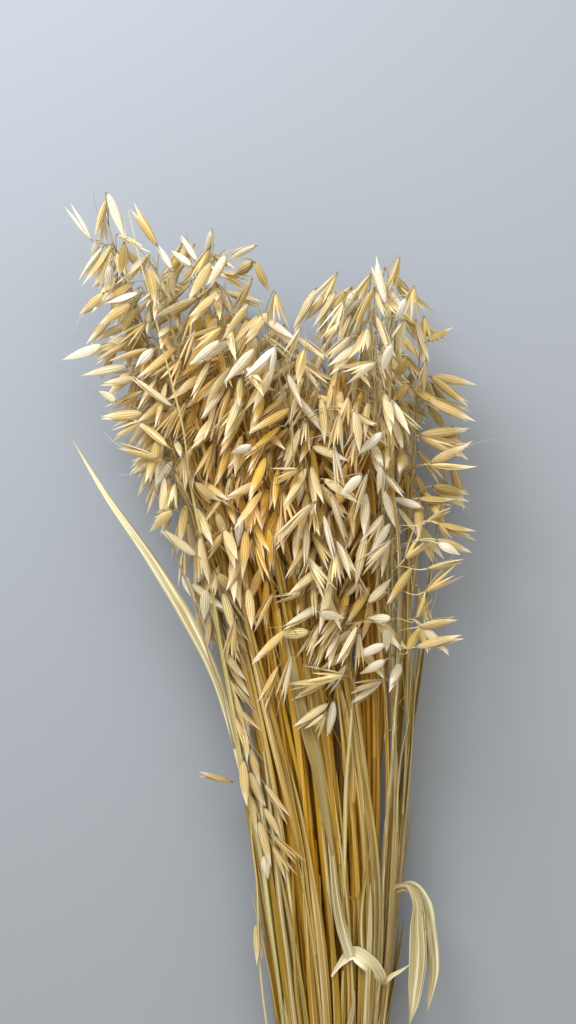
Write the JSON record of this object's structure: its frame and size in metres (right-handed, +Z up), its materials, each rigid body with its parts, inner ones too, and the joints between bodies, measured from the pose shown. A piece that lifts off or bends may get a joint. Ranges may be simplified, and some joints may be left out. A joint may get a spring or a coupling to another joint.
{
  "type": "dried oats bundle",
  "caption": "Tied bunch of bleached, dried oat stalks lying on its side: straight stems in a rubber band, fanning out to loose hanging heads of oats.",
  "frame": {"origin": "under the middle of the bunch, on the surface that it lies on", "axes": "+Y along the stalks from the cut ends to the heads, +X to the right in the picture, +Z up from the surface, towards the camera"},
  "size_m": [0.2278, 0.6756, 0.1119],
  "materials": {
    "straw": "matte",
    "rubber_band": "matte"
  },
  "bodies": {
    "root": {"oat_stalk_01": "straw", "oat_stalk_02": "straw", "oat_stalk_03": "straw", "oat_stalk_04": "straw", "oat_stalk_05": "straw", "oat_stalk_06": "straw", "oat_stalk_07": "straw", "oat_stalk_08": "straw", "oat_stalk_09": "straw", "oat_stalk_10": "straw", "oat_stalk_11": "straw", "oat_stalk_12": "straw", "oat_stalk_13": "straw", "oat_stalk_14": "straw", "oat_stalk_15": "straw", "oat_stalk_16": "straw", "oat_stalk_17": "straw", "oat_stalk_18": "straw", "oat_stalk_19": "straw", "oat_stalk_20": "straw", "oat_stalk_21": "straw", "oat_stalk_22": "straw", "oat_stalk_23": "straw", "oat_stalk_24": "straw", "oat_stalk_25": "straw", "oat_stalk_26": "straw", "oat_stalk_27": "straw", "oat_stalk_28": "straw", "oat_stalk_29": "straw", "oat_stalk_30": "straw", "oat_stalk_31": "straw", "oat_stalk_32": "straw", "oat_stalk_33": "straw", "oat_stalk_34": "straw", "oat_stalk_35": "straw", "oat_stalk_36": "straw", "oat_stalk_37": "straw", "oat_stalk_38": "straw", "oat_stalk_39": "straw", "oat_stalk_40": "straw", "oat_stalk_41": "straw", "oat_stalk_42": "straw", "oat_stalk_43": "straw", "oat_stalk_44": "straw", "oat_stalk_45": "straw", "oat_stalk_46": "straw", "oat_stalk_47": "straw", "oat_stalk_48": "straw", "oat_stalk_49": "straw", "tie_band": "rubber_band"}
  },
  "joints": []
}
